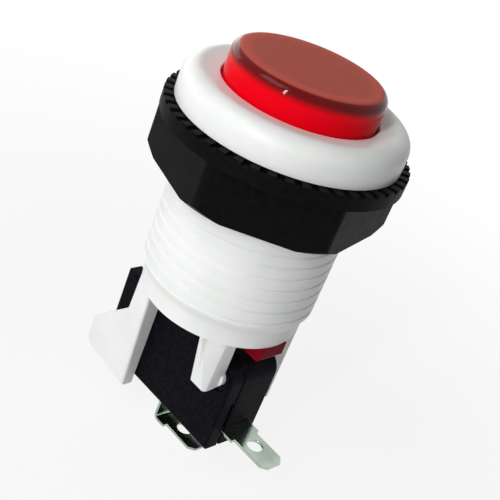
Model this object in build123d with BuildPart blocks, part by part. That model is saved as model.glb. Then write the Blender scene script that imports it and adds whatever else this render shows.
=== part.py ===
from build123d import *
import os
from math import cos, radians

os.makedirs("parts", exist_ok=True)

# Panel push button, in millimetres. Z is the button's axis, and Z 0 the panel's front, under the bezel.
# X runs along the switch's length towards its end terminal, and the switch's front faces -Y.

# Bezel and threaded barrel
bezel_radius = 17.35
bezel_height = 4.7
bezel_side_height = 2.7
bezel_edge_radius = 2.4
bezel_edge_turn = 98.0
bezel_hole_chamfer = 0.2
thread_radius = 14.0
thread_pitch = 2.0
thread_depth = 0.45
thread_groove_width = 0.5
thread_relief = 1.2
thread_start_rise = 0.87
thread_overcut = 0.05
thread_length = 26.4
thread_lead_in = 1.9
rim_height = 2.5
rim_wall = 1.05
floor_depth = 21.0
floor_thickness = 2.5
guide_clearance = 0.2
slot_clearance = 0.3

# Plunger
plunger_rise = 4.75
plunger_radius = 11.75
plunger_edge_rounding = 1.5
plunger_wall = 1.75
plunger_top_thickness = 2.4
plunger_skirt_depth = 8.0
plunger_stroke = 2.2
stroke_clearance = 0.26
leg_width = 5.7
leg_clearance = 0.35
foot_overhang = 0.1
foot_height = 2.35
foot_rounding = 0.5
foot_gap = 0.05
stem_radius = 2.6

# Return spring
spring_wire_radius = 0.4
spring_wire_sides = 6
spring_stem_clearance = 1.2
spring_turns = 5.5
spring_seat_level = 1.0
spring_seat_margin = 0.6
spring_seat_gap = 0.02

# Lock nut
nut_gap = 0.1
nut_height = 10.4
nut_across_flats = 32.8
nut_corner_rounding = 1.5
nut_chamfer_depth = 1.68
nut_chamfer_height = 1.3
nut_turn = -17.9
nut_bore_clearance = 0.1
flange_radius = 18.8
flange_height = 2.4
tooth_count = 48
tooth_gap_width = 1.1
tooth_depth = 0.4
tooth_length = 1.9

# Switch
switch_length = 27.8
switch_height = 15.9
switch_thickness = 10.3
switch_right = 11.96
switch_corner_radius = 1.5
switch_hole_corner_radius = 3.0
cover_thickness = 3.0
case_wall = 1.5
seam_chamfer = 0.25
seam_notch_width = 0.75
seam_notch_depth = 0.6
seam_notch_bottom = 4.0
seam_notch_top = 8.9
cover_edge_rounding = 0.5
mount_hole_radius = 1.55
mount_hole_inset = 2.8
mount_boss_radius = 2.8
ring_groove_radius = 2.5
ring_groove_width = 0.3
ring_groove_depth = 0.25
actuator_radius = 1.5
actuator_clearance = 0.1
actuator_reach = 2.4
actuator_collar_radius = 2.2
actuator_collar_height = 0.8
actuator_chamfer = 0.4
actuator_gap = 0.1
actuator_blade_gap = 0.25

# Contacts and terminals
terminal_thickness = 0.5
terminal_width = 4.8
terminal_root_width = 6.3
terminal_tip_chamfer = 1.0
terminal_hole_radius = 1.3
terminal_hole_from_tip = 4.7
terminal_slot_clearance = 0.03
end_terminal_level = 3.51
end_terminal_reach = 9.87
end_terminal_shoulder = 2.85
bottom_terminal_x = -1.2
bottom_terminal_drop = 5.1
bottom_terminal_reach = 9.2
bottom_terminal_shoulder = 2.4
bottom_terminal_bend = 0.8
bottom_terminal_inner_level = 2.96
contact_x = 7.0
contact_radius = 1.3
contact_height = 0.5
contact_chamfer = 0.3
contact_gap = 0.95
contact_lap = 0.5
blade_thickness = 0.3
blade_width = 3.6
blade_corner_radius = 0.9
blade_pivot_gap = 0.74
blade_seat_gap = 0.05
blade_stop_width = 1.6

# Legs that hold the switch
leg_gap = 0.15
peg_clearance = 0.1
peg_length = 3.4
peg_root = 0.5
lever_left = -9.95
lever_width = 3.15
lever_spread = 0.65
lever_top_thickness = 3.27
lever_bottom_thickness = 2.2
lever_drop = 1.44
lever_rounding = 0.5
wing_reach = 1.86
wing_drop = 0.24
wing_shoulder_rise = 5.16
wing_root_rise = 12.26
wing_rounding = 1.6
post_width = 3.25
post_side_offset = 0.99
post_root_depth = 5.14
post_tip_depth = 3.25
post_tip_drop = 1.61
post_tip_slope = 0.57
post_inset = 0.1
post_flute_offset = 1.2
post_flute_width = 1.3
post_flute_depth = 1.35
rear_leg_rise = 5.56

# Barrel and plunger levels, worked out
guide_radius = plunger_radius + guide_clearance
rim_radius = guide_radius + rim_wall
rim_top = -thread_length - thread_lead_in
rim_bottom = rim_top - rim_height
groove_start = rim_top + thread_start_rise
groove_length = -thread_relief - groove_start
floor_top = -floor_depth
floor_bottom = floor_top - floor_thickness
stem_hole_radius = stem_radius + guide_clearance
plunger_top = bezel_height + plunger_rise
plunger_ceiling = plunger_top - plunger_top_thickness
plunger_inner_radius = plunger_radius - plunger_wall
leg_outer_radius = guide_radius - leg_clearance
leg_inner_x = (plunger_inner_radius**2 - (leg_width / 2) ** 2) ** 0.5
slot_depth = guide_radius - leg_inner_x + 2 * slot_clearance
slot_middle = (guide_radius + leg_inner_x) / 2
foot_reach = rim_radius + foot_overhang
foot_top = rim_bottom - foot_gap
foot_bottom = foot_top - foot_height
spring_mean_radius = stem_radius + spring_stem_clearance + spring_wire_radius
spring_seat_radius = spring_mean_radius + spring_wire_radius + spring_seat_margin
nut_top = -nut_gap
nut_bottom = nut_top - nut_height
nut_corner_radius = nut_across_flats / 2 / cos(radians(30))

# Switch levels and places, worked out
switch_left = switch_right - switch_length
switch_top = foot_bottom - plunger_stroke - stroke_clearance
switch_bottom = switch_top - switch_height
switch_middle = ((switch_left + switch_right) / 2, (switch_top + switch_bottom) / 2)
switch_front = switch_thickness / 2
case_depth = switch_thickness - cover_thickness
seam_depth = switch_front - cover_thickness
low_hole = (switch_left + mount_hole_inset, switch_bottom + mount_hole_inset)
high_hole = (switch_right - mount_hole_inset, switch_top - mount_hole_inset)
cavity_length = switch_length - 2 * case_wall
cavity_height = switch_height - 2 * case_wall
terminal_slot = terminal_thickness + 2 * terminal_slot_clearance
terminal_slot_half = terminal_root_width / 2 + terminal_slot_clearance
end_terminal_z = switch_bottom + end_terminal_level
fixed_contact_top = end_terminal_z + terminal_thickness / 2 + contact_height
blade_bottom = fixed_contact_top + contact_gap + contact_height
blade_top = blade_bottom + blade_thickness
blade_pivot_x = low_hole[0] + mount_boss_radius + blade_pivot_gap
blade_end_x = contact_x + contact_radius + contact_lap
blade_drop = contact_gap * blade_pivot_x / (blade_pivot_x - contact_x)
actuator_top = switch_top + actuator_reach
actuator_bottom = blade_top + plunger_stroke - blade_drop + actuator_blade_gap
stem_bottom = actuator_top + actuator_gap

# Leg places, worked out
leg_back = switch_front + leg_gap
peg_radius = mount_hole_radius - peg_clearance
lever_right = lever_left + lever_width
lever_front = leg_back + lever_top_thickness
lever_middle = leg_back + lever_top_thickness / 2
lever_bottom = switch_bottom - lever_drop
wing_left = switch_left - wing_reach
post_right = high_hole[0] + post_side_offset
post_left = post_right - post_width
post_tip = high_hole[1] - post_tip_drop
post_flute_x = post_left + post_flute_offset
post_flute_bottom = -leg_back - post_root_depth + post_flute_depth
post_flute_mouth = post_flute_bottom - 2 * post_flute_depth
rear_leg_bottom = switch_bottom + rear_leg_rise

# Lever plate with its thumb wing and peg, in front of the switch
with BuildPart() as lever:
    with BuildSketch(Plane.XZ.offset(leg_back)):
        with BuildLine():
            Polyline(
                (lever_right, rim_bottom),
                (lever_right, lever_bottom),
                (wing_left, switch_bottom - wing_drop),
                (wing_left, switch_bottom + wing_shoulder_rise),
                (lever_left - lever_spread, switch_bottom + wing_root_rise),
                (lever_left, rim_bottom),
                close=True,
            )
        make_face()
        fillet(vertices().group_by(Axis.X)[0], wing_rounding)
    extrude(amount=lever_top_thickness)
    with BuildSketch(Plane.YZ.offset(wing_left)):
        with BuildLine():
            Polyline(
                (-leg_back, rim_bottom),
                (-lever_front, rim_bottom),
                (-leg_back - lever_bottom_thickness, lever_bottom),
                (-leg_back, lever_bottom),
                close=True,
            )
        make_face()
    extrude(amount=lever_right - wing_left, mode=Mode.INTERSECT)
    front_face = faces().sort_by(Axis.Y)[0]
    fillet(front_face.edges().sort_by(Axis.Z)[:-1], lever_rounding)
    with BuildSketch(Plane.XZ.offset(leg_back)):
        with Locations(low_hole):
            Circle(peg_radius)
    extrude(amount=-peg_length)

# Front post with its peg: a bar under the rim that thins towards its tip, with a flute that runs out
with BuildPart() as post:
    with BuildSketch(Plane.YZ.offset(post_left)):
        with BuildLine():
            Polyline(
                (-leg_back, floor_bottom),
                (-rim_radius, floor_bottom),
                (-rim_radius, rim_bottom),
                (-leg_back - post_root_depth, rim_bottom),
                (-leg_back - post_tip_depth, post_tip),
                (-leg_back, post_tip + post_tip_slope),
                close=True,
            )
        make_face()
    extrude(amount=post_width)
    with BuildSketch(Plane.XY.offset(floor_bottom)):
        Circle(rim_radius - post_inset)
    extrude(amount=post_tip - floor_bottom, mode=Mode.INTERSECT)
    with BuildSketch(Plane.XY.offset(rim_bottom)):
        Polygon(
            (post_flute_x, post_flute_bottom),
            (post_flute_x - post_flute_width, post_flute_mouth),
            (post_flute_x + post_flute_width, post_flute_mouth),
            align=None,
        )
    extrude(amount=post_tip - rim_bottom, mode=Mode.SUBTRACT)
    with BuildSketch(Plane.XZ.offset(leg_back + peg_root)):
        with Locations(high_hole):
            Circle(peg_radius)
    extrude(amount=-peg_length - peg_root)

# Root of the lever and the two plain legs behind the switch
with BuildPart() as plain_legs:
    lever_center = lever_left + lever_width / 2
    post_center = post_left + post_width / 2
    with BuildSketch(Plane.XY.offset(floor_bottom)):
        with Locations((lever_center, -lever_middle)):
            Rectangle(lever_width, lever_top_thickness)
    extrude(amount=rim_bottom - floor_bottom)
    with BuildSketch(Plane.XY.offset(floor_bottom)):
        with Locations((lever_center, lever_middle)):
            Rectangle(lever_width, lever_top_thickness)
        with Locations((post_center, lever_middle)):
            Rectangle(post_width, lever_top_thickness)
    extrude(amount=rear_leg_bottom - floor_bottom)

# Housing: round-edged bezel, threaded barrel, spring floor, plain rim and the legs, all one moulding
with BuildPart() as housing:
    with BuildSketch(Plane.XZ):
        with BuildLine():
            Polyline(
                (guide_radius, bezel_height - bezel_hole_chamfer),
                (guide_radius, floor_top),
                (stem_hole_radius, floor_top),
                (stem_hole_radius, floor_bottom),
                (guide_radius, floor_bottom),
                (guide_radius, rim_bottom),
                (rim_radius, rim_bottom),
                (rim_radius, rim_top),
                (thread_radius, -thread_length),
                (thread_radius, 0),
                (bezel_radius, 0),
                (bezel_radius, bezel_side_height),
            )
            edge_start = (bezel_radius, bezel_side_height)
            edge_arc = JernArc(edge_start, (0, 1), bezel_edge_radius, bezel_edge_turn)
            Polyline(
                edge_arc @ 1,
                (guide_radius + bezel_hole_chamfer, bezel_height),
                (guide_radius, bezel_height - bezel_hole_chamfer),
            )
        make_face()
    revolve(axis=Axis.Z)
    with BuildSketch(Plane.XY.offset(floor_top)):
        with Locations((-slot_middle, 0), (slot_middle, 0)):
            Rectangle(slot_depth, leg_width + 2 * slot_clearance)
    extrude(amount=-floor_thickness, mode=Mode.SUBTRACT)
    with BuildLine() as groove_path:
        groove = Helix(thread_pitch, groove_length, thread_radius, center=(0, 0, groove_start))
    groove_plane = Plane(origin=groove @ 0, x_dir=(1, 0, 0), z_dir=groove % 0)
    with BuildSketch(groove_plane):
        Polygon(
            (thread_overcut, -thread_groove_width / 2),
            (thread_overcut, thread_groove_width / 2),
            (-thread_depth, 0),
            align=None,
        )
    sweep(path=groove_path.line, is_frenet=True, mode=Mode.SUBTRACT)
    add(plain_legs.part)
    add(lever.part)
    add(post.part)
housing.part.label = "housing"
export_step(housing.part, "parts/housing.step")

# Plunger: thick-topped cap on a skirt, stem down to the switch, and two legs with hooked feet under the rim
with BuildPart() as plunger:
    with BuildSketch(Plane.XZ):
        with BuildLine():
            Polyline(
                (0, plunger_top),
                (plunger_radius, plunger_top),
                (plunger_radius, -plunger_skirt_depth),
                (plunger_inner_radius, -plunger_skirt_depth),
                (plunger_inner_radius, plunger_ceiling),
                (spring_seat_radius, plunger_ceiling),
                (spring_seat_radius, spring_seat_level),
                (stem_radius, spring_seat_level),
                (stem_radius, stem_bottom),
                (0, stem_bottom),
                close=True,
            )
        make_face()
    revolve(axis=Axis.Z)
    fillet(edges().filter_by(GeomType.CIRCLE).sort_by(Axis.Z)[-1], plunger_edge_rounding)
    with BuildSketch(Plane.XY.offset(-plunger_skirt_depth)):
        Circle(leg_outer_radius)
        Circle(plunger_inner_radius, mode=Mode.SUBTRACT)
        Rectangle(2 * leg_outer_radius, leg_width, mode=Mode.INTERSECT)
    extrude(amount=foot_bottom + plunger_skirt_depth)
    foot_length = foot_reach - plunger_inner_radius
    for side in (-1, 1):
        with BuildSketch(Plane.XY.offset(foot_top)):
            with Locations((side * (foot_reach - foot_length / 2), 0)):
                Rectangle(foot_length, leg_width)
        extrude(amount=-foot_height)
    outer_faces = faces().filter_by(Axis.X)
    foot_faces = [outer_faces.sort_by(Axis.X)[0], outer_faces.sort_by(Axis.X)[-1]]
    for face in foot_faces:
        fillet(face.edges().sort_by(Axis.Z)[:-1], foot_rounding)
plunger.part.label = "plunger"
export_step(plunger.part, "parts/plunger.step")

# Return spring between the housing's floor and the plunger's seat
with BuildPart() as return_spring:
    spring_start = floor_top + spring_wire_radius + spring_seat_gap
    spring_rise = spring_seat_level - spring_wire_radius - spring_seat_gap - spring_start
    spring_pitch = spring_rise / spring_turns
    with BuildLine() as coil_path:
        coil = Helix(spring_pitch, spring_rise, spring_mean_radius, center=(0, 0, spring_start))
    with BuildSketch(Plane(origin=coil @ 0, x_dir=(1, 0, 0), z_dir=coil % 0)):
        RegularPolygon(spring_wire_radius, spring_wire_sides)
    sweep(path=coil_path.line, is_frenet=True)
return_spring.part.label = "return_spring"
export_step(return_spring.part, "parts/return_spring.step")

# Lock nut: hexagon with rounded corners under a round flange that is toothed on top
with BuildPart() as lock_nut:
    with BuildSketch(Plane.XY.offset(nut_bottom)):
        hexagon = RegularPolygon(nut_across_flats / 2, 6, major_radius=False, rotation=nut_turn)
        fillet(hexagon.vertices(), nut_corner_rounding)
    extrude(amount=nut_height)
    with BuildSketch(Plane.XZ):
        with BuildLine():
            Polyline(
                (0, nut_top),
                (nut_across_flats, nut_top),
                (nut_across_flats, nut_bottom + nut_chamfer_height),
                (nut_corner_radius, nut_bottom + nut_chamfer_height),
                (nut_corner_radius - nut_chamfer_depth, nut_bottom),
                (0, nut_bottom),
                close=True,
            )
        make_face()
    revolve(axis=Axis.Z, mode=Mode.INTERSECT)
    with BuildSketch(Plane.XY.offset(nut_top)):
        Circle(flange_radius)
    extrude(amount=-flange_height)
    with BuildSketch(Plane.XY.offset(nut_bottom)):
        Circle(thread_radius + nut_bore_clearance)
    extrude(amount=nut_height, mode=Mode.SUBTRACT)
    with BuildSketch(Plane.XY.offset(nut_top)):
        with PolarLocations(flange_radius, tooth_count, start_angle=180 / tooth_count):
            Rectangle(2 * tooth_length, tooth_gap_width)
    extrude(amount=-tooth_depth, mode=Mode.SUBTRACT)
lock_nut.part.label = "lock_nut"
export_step(lock_nut.part, "parts/lock_nut.step")

# Outline of the switch, rounder at the two corners that have the mounting holes
with BuildSketch() as switch_outline:
    with Locations(switch_middle):
        Rectangle(switch_length, switch_height)
    corners = vertices().sort_by(Axis((0, 0, 0), (1, 1, 0)))
    fillet([corners[0], corners[-1]], switch_hole_corner_radius)
    fillet(corners[1:-1], switch_corner_radius)

# Switch case: the deep half of the switch's box, open towards the cover
with BuildPart() as switch_case:
    with BuildSketch(Plane.XZ.offset(seam_depth)):
        add(switch_outline.sketch)
    extrude(amount=-case_depth)
    chamfer(faces().sort_by(Axis.Y)[0].edges(), seam_chamfer)
    with BuildSketch(Plane.XZ.offset(seam_depth)):
        with Locations(switch_middle):
            Rectangle(cavity_length, cavity_height)
        with Locations(low_hole, high_hole):
            Circle(mount_boss_radius, mode=Mode.SUBTRACT)
    extrude(amount=-(case_depth - case_wall), mode=Mode.SUBTRACT)
    stop_bottom = blade_top + blade_seat_gap
    with BuildSketch(Plane.XZ.offset(seam_depth)):
        with Locations((blade_end_x - blade_stop_width / 2, (stop_bottom + high_hole[1]) / 2)):
            Rectangle(blade_stop_width, high_hole[1] - stop_bottom)
    extrude(amount=-(case_depth - case_wall))
    with BuildSketch(Plane.XZ.offset(seam_depth)):
        with Locations(low_hole, high_hole):
            Circle(mount_hole_radius)
    extrude(amount=-case_depth, mode=Mode.SUBTRACT)
    with BuildSketch(Plane.XY.offset(switch_top)):
        Circle(actuator_radius + actuator_clearance)
    extrude(amount=-case_wall, mode=Mode.SUBTRACT)
    with BuildSketch(Plane.XZ.offset(seam_depth)):
        with Locations((switch_right - case_wall / 2, end_terminal_z)):
            Rectangle(case_wall, terminal_slot)
        with Locations((bottom_terminal_x, switch_bottom + case_wall / 2)):
            Rectangle(terminal_slot, case_wall)
    extrude(amount=-(seam_depth + terminal_slot_half), mode=Mode.SUBTRACT)
switch_case.part.label = "switch_case"
export_step(switch_case.part, "parts/switch_case.step")

# Switch cover: the shallow front half, with a ring round each mounting hole
with BuildPart() as switch_cover:
    with BuildSketch(Plane.XZ.offset(seam_depth)):
        add(switch_outline.sketch)
    extrude(amount=cover_thickness)
    fillet(faces().sort_by(Axis.Y)[0].edges(), cover_edge_rounding)
    chamfer(faces().sort_by(Axis.Y)[-1].edges(), seam_chamfer)
    with BuildSketch(Plane.XZ.offset(seam_depth)):
        with Locations(switch_middle):
            Rectangle(cavity_length, cavity_height)
        with Locations(low_hole, high_hole):
            Circle(mount_boss_radius, mode=Mode.SUBTRACT)
    extrude(amount=cover_thickness - case_wall, mode=Mode.SUBTRACT)
    with BuildSketch(Plane.XZ.offset(switch_front)):
        with Locations(low_hole, high_hole):
            Circle(ring_groove_radius)
            Circle(ring_groove_radius - ring_groove_width, mode=Mode.SUBTRACT)
    extrude(amount=-ring_groove_depth, mode=Mode.SUBTRACT)
    with BuildSketch(Plane.XZ.offset(seam_depth)):
        with Locations(low_hole, high_hole):
            Circle(mount_hole_radius)
    extrude(amount=cover_thickness, mode=Mode.SUBTRACT)
    with BuildSketch(Plane.XZ.offset(seam_depth)):
        with Locations((switch_right - case_wall / 2, end_terminal_z)):
            Rectangle(case_wall, terminal_slot)
        with Locations((bottom_terminal_x, switch_bottom + case_wall / 2)):
            Rectangle(terminal_slot, case_wall)
    extrude(amount=terminal_slot_half - seam_depth, mode=Mode.SUBTRACT)
    notch_middle = (switch_right - seam_notch_depth / 2, -seam_depth - seam_notch_width / 2)
    with BuildSketch(Plane.XY.offset(switch_bottom + seam_notch_bottom)):
        with Locations(notch_middle):
            Rectangle(seam_notch_depth, seam_notch_width)
    extrude(amount=seam_notch_top - seam_notch_bottom, mode=Mode.SUBTRACT)
switch_cover.part.label = "switch_cover"
export_step(switch_cover.part, "parts/switch_cover.step")

# Switch actuator: the pin that the plunger's stem presses, held in by its collar
with BuildPart() as switch_actuator:
    with BuildSketch(Plane.XY.offset(actuator_top)):
        Circle(actuator_radius)
    extrude(amount=actuator_bottom - actuator_top)
    with BuildSketch(Plane.XY.offset(switch_top - case_wall - actuator_clearance)):
        Circle(actuator_collar_radius)
    extrude(amount=-actuator_collar_height)
    chamfer(edges().filter_by(GeomType.CIRCLE).sort_by(Axis.Z)[-1], actuator_chamfer)
switch_actuator.part.label = "switch_actuator"
export_step(switch_actuator.part, "parts/switch_actuator.step")

# End terminal: flat strip through the switch's end wall, with a shouldered tab outside
with BuildPart() as end_terminal:
    tab_tip = switch_right + end_terminal_reach
    tab_shoulder = switch_right + end_terminal_shoulder
    end_terminal_inside = contact_x - contact_radius - contact_lap
    with BuildSketch(Plane.XY.offset(end_terminal_z - terminal_thickness / 2)):
        with Locations(((end_terminal_inside + tab_shoulder) / 2, 0)):
            Rectangle(tab_shoulder - end_terminal_inside, terminal_root_width)
        with Locations(((end_terminal_inside + tab_tip) / 2, 0)):
            Rectangle(tab_tip - end_terminal_inside, terminal_width)
        chamfer(vertices().group_by(Axis.X)[-1], terminal_tip_chamfer)
        with Locations((tab_tip - terminal_hole_from_tip, 0)):
            Circle(terminal_hole_radius, mode=Mode.SUBTRACT)
    extrude(amount=terminal_thickness)
end_terminal.part.label = "end_terminal"
export_step(end_terminal.part, "parts/end_terminal.step")

# Bottom terminal: bent strip that carries the blade inside and runs under the switch as a tab
with BuildPart() as bottom_terminal:
    run_level = switch_bottom - bottom_terminal_drop
    inner_level = switch_bottom + bottom_terminal_inner_level
    run_tip = bottom_terminal_x + bottom_terminal_reach
    with BuildSketch(Plane.XZ.offset(-terminal_root_width / 2)):
        with BuildLine():
            FilletPolyline(
                (run_tip, run_level),
                (bottom_terminal_x, run_level),
                (bottom_terminal_x, inner_level),
                (blade_pivot_x, inner_level),
                (blade_pivot_x, blade_bottom - blade_seat_gap),
                radius=bottom_terminal_bend,
            )
        trace(line_width=terminal_thickness)
    extrude(amount=terminal_root_width)
    tab_length = bottom_terminal_reach - bottom_terminal_shoulder
    with BuildSketch(Plane.XY.offset(run_level - terminal_thickness)):
        with Locations((run_tip - tab_length / 2, 0)):
            Rectangle(tab_length, 2 * terminal_root_width)
            Rectangle(tab_length, terminal_width, mode=Mode.SUBTRACT)
        with Locations((run_tip - terminal_hole_from_tip, 0)):
            Circle(terminal_hole_radius)
    extrude(amount=2 * terminal_thickness, mode=Mode.SUBTRACT)
    tip_corners = edges().filter_by(Axis.Z).group_by(Axis.X)[-1]
    chamfer(tip_corners, terminal_tip_chamfer)
bottom_terminal.part.label = "bottom_terminal"
export_step(bottom_terminal.part, "parts/bottom_terminal.step")

# Contact blade, hinged on the bottom terminal's upright end
with BuildPart() as contact_blade:
    with BuildSketch(Plane.XY.offset(blade_bottom)):
        with Locations(((blade_pivot_x + blade_end_x) / 2, 0)):
            RectangleRounded(blade_end_x - blade_pivot_x, blade_width, blade_corner_radius)
    extrude(amount=blade_thickness)
contact_blade.part.label = "contact_blade"
export_step(contact_blade.part, "parts/contact_blade.step")

# Contact studs on the blade and on the end terminal
with BuildPart() as moving_contact:
    with BuildSketch(Plane.XY.offset(blade_bottom)):
        with Locations((contact_x, 0)):
            Circle(contact_radius)
    extrude(amount=-contact_height)
    chamfer(edges().filter_by(GeomType.CIRCLE).sort_by(Axis.Z)[0], contact_chamfer)
moving_contact.part.label = "moving_contact"
export_step(moving_contact.part, "parts/moving_contact.step")

with BuildPart() as fixed_contact:
    with BuildSketch(Plane.XY.offset(fixed_contact_top)):
        with Locations((contact_x, 0)):
            Circle(contact_radius)
    extrude(amount=-contact_height)
    chamfer(edges().filter_by(GeomType.CIRCLE).sort_by(Axis.Z)[-1], contact_chamfer)
fixed_contact.part.label = "fixed_contact"
export_step(fixed_contact.part, "parts/fixed_contact.step")
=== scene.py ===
import math

import bpy
from mathutils import Matrix, Vector


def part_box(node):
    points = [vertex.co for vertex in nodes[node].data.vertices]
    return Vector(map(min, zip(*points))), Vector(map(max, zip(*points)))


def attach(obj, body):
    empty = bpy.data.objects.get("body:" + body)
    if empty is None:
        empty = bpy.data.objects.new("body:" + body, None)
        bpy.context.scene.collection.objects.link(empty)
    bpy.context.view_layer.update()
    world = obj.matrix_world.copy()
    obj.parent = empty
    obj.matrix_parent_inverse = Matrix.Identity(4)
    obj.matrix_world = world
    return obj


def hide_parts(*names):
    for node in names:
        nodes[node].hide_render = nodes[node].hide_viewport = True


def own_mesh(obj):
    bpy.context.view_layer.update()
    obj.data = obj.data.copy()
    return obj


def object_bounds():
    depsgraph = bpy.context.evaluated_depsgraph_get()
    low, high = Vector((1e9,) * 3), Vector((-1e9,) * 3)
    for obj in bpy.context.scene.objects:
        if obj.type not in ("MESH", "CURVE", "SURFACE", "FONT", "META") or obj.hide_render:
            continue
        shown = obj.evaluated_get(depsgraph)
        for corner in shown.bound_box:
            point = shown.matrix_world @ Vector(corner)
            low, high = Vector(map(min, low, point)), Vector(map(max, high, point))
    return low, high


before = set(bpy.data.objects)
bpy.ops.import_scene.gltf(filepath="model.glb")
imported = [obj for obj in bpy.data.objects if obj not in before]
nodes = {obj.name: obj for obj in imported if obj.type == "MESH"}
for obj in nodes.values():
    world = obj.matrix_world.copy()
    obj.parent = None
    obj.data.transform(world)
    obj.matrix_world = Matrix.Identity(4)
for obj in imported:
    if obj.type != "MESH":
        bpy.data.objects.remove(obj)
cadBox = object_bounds()
mm = 0.001
mergeReach = 0.001 * mm  # points closer than this become one
smoothAngle = math.radians(40.0)  # edges sharper than this stay hard
print("frame loaded:", len(nodes), "nodes")


# helpers for objects and node trees

def deselectAll():
    for thing in bpy.context.selected_objects:
        thing.select_set(False)


def activate(thing):
    deselectAll()
    thing.select_set(True)
    bpy.context.view_layer.objects.active = thing


def applyModifiers(thing):
    activate(thing)
    for modifier in list(thing.modifiers):
        bpy.ops.object.modifier_apply(modifier=modifier.name)


def openMerged():  # edit mode, with every point selected and doubles merged
    bpy.ops.object.mode_set(mode="EDIT")
    bpy.ops.mesh.select_all(action="SELECT")
    bpy.ops.mesh.remove_doubles(threshold=mergeReach)


def turned(degrees, axis):
    return Matrix.Rotation(math.radians(degrees), 4, axis)


def opaque(colour):
    return (*colour, 1.0)


def newMaterial(name):
    material = bpy.data.materials.new(name)
    material.use_nodes = True
    tree = material.node_tree
    return material, tree, tree.nodes["Principled BSDF"]


def setSockets(node, values):
    for label, value in values.items():
        node.inputs[label].default_value = value


def newGroup(name, inputs, outputs):
    group = bpy.data.node_groups.new(name, "ShaderNodeTree")
    for label, kind, value in inputs:
        socket = group.interface.new_socket(label, in_out="INPUT", socket_type=kind)
        socket.default_value = value
    for label, kind in outputs:
        group.interface.new_socket(label, in_out="OUTPUT", socket_type=kind)
    return group, group.nodes.new("NodeGroupInput"), group.nodes.new("NodeGroupOutput")


def feed(tree, value, socket):  # a value is either a number or another node's output
    if isinstance(value, bpy.types.NodeSocket):
        tree.links.new(value, socket)
    else:
        socket.default_value = value


def objectPlace(tree):
    return tree.nodes.new("ShaderNodeTexCoord").outputs["Object"]


def addNoise(tree, vector, scale, detail):
    noise = tree.nodes.new("ShaderNodeTexNoise")
    noise.inputs["Detail"].default_value = detail
    feed(tree, scale, noise.inputs["Scale"])
    tree.links.new(vector, noise.inputs["Vector"])
    return noise.outputs["Fac"]


def addRange(tree, value, low, high, toLow, toHigh):
    span = tree.nodes.new("ShaderNodeMapRange")
    span.interpolation_type = "SMOOTHSTEP"
    setSockets(span, {"From Min": low, "From Max": high, "To Min": toLow, "To Max": toHigh})
    tree.links.new(value, span.inputs["Value"])
    return span.outputs["Result"]


def addMath(tree, operation, *values):
    node = tree.nodes.new("ShaderNodeMath")
    node.operation = operation
    for place, value in enumerate(values):
        feed(tree, value, node.inputs[place])
    return node.outputs[0]


def addColourMix(tree, factor, first, second):
    mix = tree.nodes.new("ShaderNodeMix")
    mix.data_type = "RGBA"
    tree.links.new(factor, mix.inputs["Factor"])
    for label, colour in (("A", first), ("B", second)):
        feed(tree, opaque(colour) if isinstance(colour, tuple) else colour, mix.inputs[label])
    return mix.outputs["Result"]


def addBump(tree, height, strength, reach):
    bump = tree.nodes.new("ShaderNodeBump")
    bump.inputs["Distance"].default_value = reach
    feed(tree, strength, bump.inputs["Strength"])
    tree.links.new(height, bump.inputs["Height"])
    return bump.outputs["Normal"]


# what both skins put out: a mottled colour, an uneven gloss and a grain

skinOutputs = [
    ("Colour", "NodeSocketColor"),
    ("Roughness", "NodeSocketFloat"),
    ("Normal", "NodeSocketVector"),
]
mottleFrom = 0.35
mottleTo = 0.7


def putOut(group, entry, leave, mottle, secondColour, smear, grain, reach):
    mask = addRange(group, mottle, mottleFrom, mottleTo, 0.0, 1.0)
    colour = addColourMix(group, mask, entry.outputs["Colour"], entry.outputs[secondColour])
    gloss = addMath(group, "MULTIPLY_ADD", smear, entry.outputs["Gloss Spread"], entry.outputs["Gloss"])
    group.links.new(colour, leave.inputs["Colour"])
    group.links.new(gloss, leave.inputs["Roughness"])
    group.links.new(addBump(group, grain, entry.outputs["Grain Depth"], reach), leave.inputs["Normal"])


# moulded plastic: faint clouding of the colour, uneven gloss and a fine skin

mouldedNoise = {"cloudDetail": 5.0, "smearScale": 420.0, "smearDetail": 4.0,
                "grainDetail": 2.0, "grainReach": 0.05 * mm}


def buildMouldedSkin(look):
    group, entry, leave = newGroup(
        "mouldedSkin",
        [
            ("Colour", "NodeSocketColor", (0.8, 0.8, 0.8, 1.0)),
            ("Cloud Colour", "NodeSocketColor", (0.7, 0.7, 0.7, 1.0)),
            ("Cloud Scale", "NodeSocketFloat", 130.0),
            ("Gloss", "NodeSocketFloat", 0.35),
            ("Gloss Spread", "NodeSocketFloat", 0.08),
            ("Grain Scale", "NodeSocketFloat", 2500.0),
            ("Grain Depth", "NodeSocketFloat", 0.1),
        ],
        skinOutputs,
    )
    place = objectPlace(group)
    cloud = addNoise(group, place, entry.outputs["Cloud Scale"], look["cloudDetail"])
    smear = addNoise(group, place, look["smearScale"], look["smearDetail"])
    grain = addNoise(group, place, entry.outputs["Grain Scale"], look["grainDetail"])
    putOut(group, entry, leave, cloud, "Cloud Colour", smear, grain, look["grainReach"])
    return group


mouldedSkin = buildMouldedSkin(mouldedNoise)


# rolled or plated metal: drawn grain in the gloss, and a slow change of tint

metalNoise = {"tarnishDetail": 3.0, "grainDetail": 4.0, "grainReach": 0.02 * mm}


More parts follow.
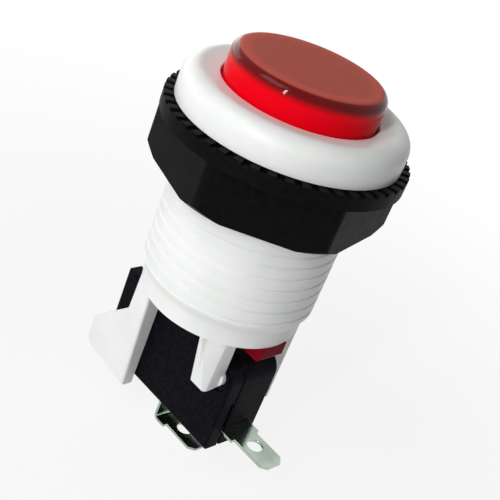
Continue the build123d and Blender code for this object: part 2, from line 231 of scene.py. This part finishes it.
def buildMetalSkin(look):
    group, entry, leave = newGroup(
        "metalSkin",
        [
            ("Colour", "NodeSocketColor", (0.8, 0.8, 0.8, 1.0)),
            ("Tarnish", "NodeSocketColor", (0.6, 0.6, 0.6, 1.0)),
            ("Tarnish Scale", "NodeSocketFloat", 250.0),
            ("Gloss", "NodeSocketFloat", 0.2),
            ("Gloss Spread", "NodeSocketFloat", 0.15),
            ("Grain Scale", "NodeSocketFloat", 400.0),
            ("Grain Stretch", "NodeSocketVector", (0.15, 3.0, 3.0)),
            ("Grain Depth", "NodeSocketFloat", 0.1),
        ],
        skinOutputs,
    )
    place = objectPlace(group)
    tarnish = addNoise(group, place, entry.outputs["Tarnish Scale"], look["tarnishDetail"])
    stretch = group.nodes.new("ShaderNodeVectorMath")
    stretch.operation = "MULTIPLY"
    group.links.new(place, stretch.inputs[0])
    group.links.new(entry.outputs["Grain Stretch"], stretch.inputs[1])
    grain = addNoise(group, stretch.outputs["Vector"], entry.outputs["Grain Scale"], look["grainDetail"])
    putOut(group, entry, leave, tarnish, "Tarnish", grain, grain, look["grainReach"])
    return group


metalSkin = buildMetalSkin(metalNoise)


def skinnedMaterial(name, group, look):
    material, tree, shader = newMaterial(name)
    skin = tree.nodes.new("ShaderNodeGroup")
    skin.node_tree = group
    setSockets(skin, look["skin"])
    tree.links.new(skin.outputs["Colour"], shader.inputs["Base Color"])
    tree.links.new(skin.outputs["Roughness"], shader.inputs["Roughness"])
    tree.links.new(skin.outputs["Normal"], shader.inputs["Normal"])
    setSockets(shader, look["shader"])
    return material


# white plastic of the housing

housingLook = {
    "skin": {"Colour": (0.86, 0.87, 0.86, 1.0), "Cloud Colour": (0.81, 0.825, 0.81, 1.0),
             "Cloud Scale": 130.0, "Gloss": 0.28, "Gloss Spread": 0.12,
             "Grain Scale": 1800.0, "Grain Depth": 0.06},
    "shader": {"IOR": 1.5, "Specular IOR Level": 0.3, "Subsurface Weight": 0.2,
               "Subsurface Radius": (1.0, 0.95, 0.9), "Subsurface Scale": 0.8 * mm},
}
housingWhite = skinnedMaterial("housingWhite", mouldedSkin, housingLook)

# black plastics of the nut and the switch, and dark grey of its pin

nutLook = {
    "skin": {"Colour": (0.003, 0.003, 0.0035, 1.0), "Cloud Colour": (0.005, 0.0045, 0.0055, 1.0),
             "Cloud Scale": 1400.0, "Gloss": 0.38, "Gloss Spread": 0.16,
             "Grain Scale": 2200.0, "Grain Depth": 0.12},
    "shader": {"IOR": 1.45, "Specular IOR Level": 0.035},
}
nutBlack = skinnedMaterial("nutBlack", mouldedSkin, nutLook)

switchLook = {
    "skin": {"Colour": (0.0025, 0.002, 0.0035, 1.0), "Cloud Colour": (0.0075, 0.0065, 0.01, 1.0),
             "Cloud Scale": 1900.0, "Gloss": 0.38, "Gloss Spread": 0.18,
             "Grain Scale": 3200.0, "Grain Depth": 0.3},
    "shader": {"IOR": 1.45, "Specular IOR Level": 0.03},
}
switchBlack = skinnedMaterial("switchBlack", mouldedSkin, switchLook)

pinLook = {
    "skin": {"Colour": (0.05, 0.05, 0.05, 1.0), "Cloud Colour": (0.04, 0.04, 0.04, 1.0),
             "Cloud Scale": 500.0, "Gloss": 0.25, "Gloss Spread": 0.1,
             "Grain Scale": 2500.0, "Grain Depth": 0.05},
    "shader": {"IOR": 1.45},
}
pinGrey = skinnedMaterial("pinGrey", mouldedSkin, pinLook)

# tin-plated terminals with a green tint from a painted reflection, copper blade, silver contacts and spring
# wire

# the terminal colours are tin grey tinted green: the green is a painted reflection of green surroundings
terminalLook = {
    "skin": {"Colour": (0.46, 0.54, 0.46, 1.0), "Tarnish": (0.34, 0.42, 0.35, 1.0),
             "Tarnish Scale": 260.0, "Gloss": 0.06, "Gloss Spread": 0.14,
             "Grain Scale": 420.0, "Grain Stretch": (0.15, 3.0, 3.0), "Grain Depth": 0.08},
    "shader": {"Metallic": 1.0},
}
terminalTin = skinnedMaterial("terminalTin", metalSkin, terminalLook)

bladeLook = {
    "skin": {"Colour": (0.80, 0.48, 0.26, 1.0), "Tarnish": (0.66, 0.38, 0.20, 1.0),
             "Tarnish Scale": 300.0, "Gloss": 0.16, "Gloss Spread": 0.16,
             "Grain Scale": 500.0, "Grain Stretch": (0.15, 3.0, 3.0), "Grain Depth": 0.1},
    "shader": {"Metallic": 1.0},
}
bladeCopper = skinnedMaterial("bladeCopper", metalSkin, bladeLook)

contactLook = {
    "skin": {"Colour": (0.88, 0.88, 0.86, 1.0), "Tarnish": (0.74, 0.74, 0.72, 1.0),
             "Tarnish Scale": 500.0, "Gloss": 0.12, "Gloss Spread": 0.15,
             "Grain Scale": 900.0, "Grain Stretch": (1.0, 1.0, 1.0), "Grain Depth": 0.1},
    "shader": {"Metallic": 1.0},
}
contactSilver = skinnedMaterial("contactSilver", metalSkin, contactLook)

springLook = {
    "skin": {"Colour": (0.58, 0.58, 0.6, 1.0), "Tarnish": (0.45, 0.45, 0.46, 1.0),
             "Tarnish Scale": 300.0, "Gloss": 0.14, "Gloss Spread": 0.16,
             "Grain Scale": 700.0, "Grain Stretch": (1.0, 1.0, 4.0), "Grain Depth": 0.1},
    "shader": {"Metallic": 1.0},
}
springSteel = skinnedMaterial("springSteel", metalSkin, springLook)
print("plastics and metals made")


# tinted plastic of the plunger: bright red in its thin side; painted shade in its rim band, partly the
# deeper red of the thicker plastic; painted shade on its feet; frosted on its flat top, with a painted glow
# ring towards the top's edge
# the levels of the side and top are measured down from the top, those of the feet up from the bottom

plungerLow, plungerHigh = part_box("plunger")
plungerLook = {
    # the deep colour is painted shade for the rim band, partly the deeper red of the thicker plastic
    "bright": (0.80, 0.0, 0.008), "deep": (0.15, 0.0, 0.001), "footPaintedShade": (0.2, 0.003, 0.01),
    # topPaintedGlow is a painted glow: light painted into the top's colour towards its edge
    "top": (0.43, 0.074, 0.048), "topFleck": (0.50, 0.096, 0.064), "topPaintedGlow": (0.58, 0.105, 0.072),
    "brightBelow": 2.15 * mm, "deepFrom": 0.84 * mm, "topFrom": 0.22 * mm, "topFull": 0.03 * mm,
    "footTop": 3.4 * mm, "footFull": 2.2 * mm, "topPaintedGlowFrom": 8.2 * mm, "topPaintedGlowFull": 10.2 * mm,
    "sideGloss": 0.06, "topGloss": 0.42, "sidePolish": 0.15, "rimPolish": 0.5,
    "fleckScale": 300.0, "fleckDetail": 5.0,
    "frostScale": 1500.0, "frostDetail": 2.0, "frostDepth": 0.15, "frostReach": 0.05 * mm,
    "shader": {"IOR": 1.45, "Specular IOR Level": 0.02, "Subsurface Weight": 0.4,
               "Subsurface Radius": (1.0, 0.1, 0.08), "Subsurface Scale": 1.5 * mm,
               "Coat IOR": 1.3, "Coat Roughness": 0.04},
}


def axisDistance(tree, split):
    square = addMath(tree, "MULTIPLY", split.outputs["X"], split.outputs["X"])
    square = addMath(tree, "MULTIPLY_ADD", split.outputs["Y"], split.outputs["Y"], square)
    return addMath(tree, "SQRT", square)


def tintedPlastic(name, look, lowLevel, topLevel):
    material, tree, shader = newMaterial(name)
    place = objectPlace(tree)
    split = tree.nodes.new("ShaderNodeSeparateXYZ")
    tree.links.new(place, split.inputs[0])
    level = split.outputs["Z"]
    # painted shade: the rim band is blended towards the deep red
    deepMask = addRange(tree, level, topLevel - look["brightBelow"], topLevel - look["deepFrom"], 0.0, 1.0)
    topMask = addRange(tree, level, topLevel - look["topFrom"], topLevel - look["topFull"], 0.0, 1.0)
    # painted shade: the feet are blended towards a darker red
    footPaintedShadeMask = addRange(tree, level, lowLevel + look["footFull"], lowLevel + look["footTop"], 1.0, 0.0)
    # painted light: a redder glow ring towards the edge of the top
    topPaintedGlowMask = addRange(tree, axisDistance(tree, split), look["topPaintedGlowFrom"], look["topPaintedGlowFull"], 0.0, 1.0)

    side = addColourMix(tree, deepMask, look["bright"], look["deep"])
    side = addColourMix(tree, footPaintedShadeMask, side, look["footPaintedShade"])
    fleck = addNoise(tree, place, look["fleckScale"], look["fleckDetail"])
    top = addColourMix(tree, fleck, look["top"], look["topFleck"])
    top = addColourMix(tree, topPaintedGlowMask, top, look["topPaintedGlow"])
    tree.links.new(addColourMix(tree, topMask, side, top), shader.inputs["Base Color"])

    gloss = addRange(tree, topMask, 0.0, 1.0, look["sideGloss"], look["topGloss"])
    tree.links.new(gloss, shader.inputs["Roughness"])
    polish = addRange(tree, deepMask, 0.0, 1.0, look["sidePolish"], look["rimPolish"])
    polished = addRange(tree, addMath(tree, "MAXIMUM", topMask, footPaintedShadeMask), 0.0, 1.0, 1.0, 0.0)
    tree.links.new(addMath(tree, "MULTIPLY", polish, polished), shader.inputs["Coat Weight"])

    frost = addNoise(tree, place, look["frostScale"], look["frostDetail"])
    frost = addMath(tree, "MULTIPLY", frost, topMask)
    tree.links.new(addBump(tree, frost, look["frostDepth"], look["frostReach"]), shader.inputs["Normal"])
    setSockets(shader, look["shader"])
    return material


plungerRed = tintedPlastic("plungerRed", plungerLook, plungerLow.z, plungerHigh.z)

finishes = {
    "housing": housingWhite, "plunger": plungerRed, "return_spring": springSteel, "lock_nut": nutBlack,
    "switch_case": switchBlack, "switch_cover": switchBlack, "switch_actuator": pinGrey,
    "end_terminal": terminalTin, "bottom_terminal": terminalTin, "contact_blade": bladeCopper,
    "moving_contact": contactSilver, "fixed_contact": contactSilver,
}
for name, finish in finishes.items():
    nodes[name].data.materials.clear()
    nodes[name].data.materials.append(finish)
print("finishes given:", len(finishes))


# copies of the sharp-edged parts with their edges softened, as stamping and moulding leave them

postCorner = {"x": 10.15 * mm, "y": -7.96 * mm, "reach": 0.05 * mm, "width": 0.9 * mm, "segments": 5}
softenedLooks = {
    "housing": {"body": "frame", "slot": "white_plastic", "width": 0.05 * mm, "corner": postCorner},
    "lock_nut": {"body": "nut", "slot": "nut_plastic", "width": 0.12 * mm},
    "switch_case": {"body": "frame", "slot": "switch_plastic", "width": 0.1 * mm},
    "switch_cover": {"body": "frame", "slot": "switch_plastic", "width": 0.1 * mm},
    "end_terminal": {"body": "frame", "slot": "plated_terminal", "width": 0.09 * mm},
    "bottom_terminal": {"body": "frame", "slot": "plated_terminal", "width": 0.09 * mm},
}
flatAngle = math.radians(0.5)  # faces this nearly level with each other are joined first
bevelAngle = math.radians(30.0)  # edges sharper than this are softened
bevelSegments = 2


def roundUprightEdge(piece, corner):
    bpy.ops.object.mode_set(mode="EDIT")
    bpy.ops.mesh.select_mode(type="EDGE")
    bpy.ops.mesh.select_all(action="DESELECT")
    bpy.ops.object.mode_set(mode="OBJECT")
    place = Vector((corner["x"], corner["y"]))
    for edge in piece.data.edges:
        ends = [piece.data.vertices[index].co.xy for index in edge.vertices]
        edge.select = all((end - place).length < corner["reach"] for end in ends)
    bpy.ops.object.mode_set(mode="EDIT")
    bpy.ops.mesh.bevel(offset=corner["width"], segments=corner["segments"], affect="EDGES")
    bpy.ops.object.mode_set(mode="OBJECT")


def softenedCopy(name, look):
    piece = bpy.data.objects.new(name + "_softened", nodes[name].data.copy())
    bpy.context.scene.collection.objects.link(piece)
    activate(piece)
    bpy.ops.mesh.customdata_custom_splitnormals_clear()
    openMerged()
    bpy.ops.mesh.dissolve_limited(angle_limit=flatAngle)
    bpy.ops.object.mode_set(mode="OBJECT")
    if "corner" in look:
        roundUprightEdge(piece, look["corner"])
    bevel = piece.modifiers.new("bevel", "BEVEL")
    bevel.width = look["width"]
    bevel.segments = bevelSegments
    bevel.limit_method = "ANGLE"
    bevel.angle_limit = bevelAngle
    applyModifiers(piece)
    bpy.ops.object.shade_smooth_by_angle(angle=smoothAngle)
    piece.modifiers.new("normals", "WEIGHTED_NORMAL").keep_sharp = True
    applyModifiers(piece)
    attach(piece, look["body"])
    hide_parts(name)
    return piece


for name, look in softenedLooks.items():
    piece = softenedCopy(name, look)
    print("softened:", name, len(piece.data.polygons), "faces")


# return spring of round wire

springLow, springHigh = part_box("return_spring")
coilLook = {"wireRadius": 0.4 * mm, "wireSides": 16, "turns": 5.5, "stepsPerTurn": 48, "keep": 0.9,
            "seat": springLow.z, "top": springHigh.z, "outerRadius": springHigh.x}
coilRise = coilLook["top"] - coilLook["seat"] - 2 * coilLook["wireRadius"]
wireStart = (coilLook["outerRadius"] - coilLook["wireRadius"], 0, coilLook["seat"] + coilLook["wireRadius"])
deselectAll()
bpy.ops.mesh.primitive_circle_add(
    vertices=coilLook["wireSides"], radius=coilLook["wireRadius"], fill_type="NOTHING",
    location=wireStart, rotation=(math.pi / 2, 0, 0))
coil = bpy.context.object
coil.name = "spring_coil"
bpy.ops.object.transform_apply(location=True, rotation=True, scale=True)
screw = coil.modifiers.new("screw", "SCREW")
screw.angle = 2 * math.pi * coilLook["turns"]
screw.screw_offset = coilRise
screw.steps = int(coilLook["turns"] * coilLook["stepsPerTurn"])
screw.render_steps = screw.steps
applyModifiers(coil)
openMerged()
bpy.ops.mesh.fill_holes(sides=coilLook["wireSides"])
bpy.ops.mesh.normals_make_consistent(inside=False)
bpy.ops.object.mode_set(mode="OBJECT")
bpy.ops.object.shade_smooth_by_angle(angle=smoothAngle)
coil.data.materials.append(springSteel)
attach(coil, "frame")
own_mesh(coil)
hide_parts("return_spring")
print("spring coiled:", len(coil.data.polygons), "faces")


# white floor: it keeps the object's shadow, and fades to the white background further off

stageLook = {"floorDrop": 0.5 * mm, "floorSize": 6.0,
             "fadeFrom": 40.0 * mm, "fadeTo": 180.0 * mm, "whiteNear": 0.86,
             "shader": {"Base Color": opaque((0.8, 0.8, 0.8)), "Roughness": 0.9, "Specular IOR Level": 0.0}}


def seenDirectly(tree):
    path = tree.nodes.new("ShaderNodeLightPath")
    seen = addMath(tree, "MAXIMUM", path.outputs["Is Camera Ray"], path.outputs["Is Glossy Ray"])
    return addMath(tree, "MAXIMUM", seen, path.outputs["Is Transmission Ray"])


def addShaderMix(tree, factor, first, second, socket):
    mix = tree.nodes.new("ShaderNodeMixShader")
    tree.links.new(factor, mix.inputs[0])
    tree.links.new(first.outputs[0], mix.inputs[1])
    tree.links.new(second.outputs[0], mix.inputs[2])
    tree.links.new(mix.outputs[0], socket)


deselectAll()
floorLevel = cadBox[0].z - stageLook["floorDrop"]
bpy.ops.mesh.primitive_plane_add(size=stageLook["floorSize"], location=(0, 0, floorLevel))
floor = bpy.context.object
floor.name = "floor"
floorPaper, floorTree, floorShader = newMaterial("floorPaper")
setSockets(floorShader, stageLook["shader"])
floorReach = floorTree.nodes.new("ShaderNodeVectorMath")
floorReach.operation = "LENGTH"
floorTree.links.new(objectPlace(floorTree), floorReach.inputs[0])
fade = addRange(floorTree, floorReach.outputs["Value"], stageLook["fadeFrom"], stageLook["fadeTo"],
                stageLook["whiteNear"], 1.0)
fade = addMath(floorTree, "MULTIPLY", fade, seenDirectly(floorTree))
floorWhite = floorTree.nodes.new("ShaderNodeEmission")
addShaderMix(floorTree, fade, floorShader, floorWhite, floorTree.nodes["Material Output"].inputs["Surface"])
floor.data.materials.append(floorPaper)

# even white light round about, and a white background where it is seen

worldLook = {"ambient": 0.12, "back": 1.0, "colour": (1.0, 1.0, 1.0)}
world = bpy.data.worlds.new("studio")
bpy.context.scene.world = world
world.use_nodes = True
worldTree = world.node_tree
ambient = worldTree.nodes["Background"]
setSockets(ambient, {"Color": opaque(worldLook["colour"]), "Strength": worldLook["ambient"]})
whiteBack = worldTree.nodes.new("ShaderNodeBackground")
setSockets(whiteBack, {"Color": opaque(worldLook["colour"]), "Strength": worldLook["back"]})
addShaderMix(worldTree, seenDirectly(worldTree), ambient, whiteBack,
             worldTree.nodes["World Output"].inputs["Surface"])
print("stage set")


# camera, as the picture was taken

cameraLook = {"distance": 145.04 * mm, "turn": 36.61, "rise": 20.66,
              "roll": 21.82, "pan": 2.25, "tilt": -7.09,
              "lens": 72.0, "sensor": 36.0, "near": 5.0 * mm, "far": 20.0}
stand = turned(cameraLook["turn"], "Z") @ turned(90.0 - cameraLook["rise"], "X")
aim = turned(cameraLook["roll"], "Z") @ turned(cameraLook["pan"], "Y") @ turned(cameraLook["tilt"], "X")
camera = bpy.data.objects.new("camera", bpy.data.cameras.new("camera"))
bpy.context.scene.collection.objects.link(camera)
camera.matrix_world = stand @ Matrix.Translation((0, 0, cameraLook["distance"])) @ aim
camera.data.sensor_width = cameraLook["sensor"]
camera.data.lens = cameraLook["lens"]
camera.data.clip_start = cameraLook["near"]
camera.data.clip_end = cameraLook["far"]
bpy.context.scene.camera = camera
print("camera placed")


# lamps, turned from the camera's own side and not seen by it
# a soft key from the upper left, a tall narrow strip in front, a weak side light, a broad light from behind

lampLooks = {
    "keyLamp": {"turn": -54.0, "rise": 48.0, "distance": 0.55, "width": 0.3, "height": 0.3,
                "power": 1.0, "colour": (1.0, 1.0, 1.0)},
    "stripLamp": {"turn": -22.0, "rise": 19.0, "distance": 0.6, "width": 0.026, "height": 0.45,
                  "power": 2.2, "colour": (1.0, 1.0, 1.0)},
    "sideLamp": {"turn": 95.0, "rise": 20.0, "distance": 0.6, "width": 0.4, "height": 0.4,
                 "power": 0.06, "colour": (0.68, 1.0, 0.8)},
    "backLamp": {"turn": -140.0, "rise": 12.0, "distance": 0.6, "width": 0.6, "height": 0.3,
                 "power": 0.95, "colour": (1.0, 1.0, 1.0)},
}
lampTarget = Matrix.Translation((0, 0, -20.0 * mm))
for name, look in lampLooks.items():
    lamp = bpy.data.lights.new(name, "AREA")
    lamp.shape = "RECTANGLE"
    lamp.size = look["width"]
    lamp.size_y = look["height"]
    lamp.energy = look["power"]
    lamp.color = look["colour"]
    holder = bpy.data.objects.new(name, lamp)
    bpy.context.scene.collection.objects.link(holder)
    holder.visible_camera = False
    side = turned(cameraLook["turn"] + look["turn"], "Z") @ turned(90.0 - look["rise"], "X")
    holder.matrix_world = lampTarget @ side @ Matrix.Translation((0, 0, look["distance"]))
bpy.context.scene.view_settings.view_transform = "Standard"
print("lamps placed:", len(lampLooks))
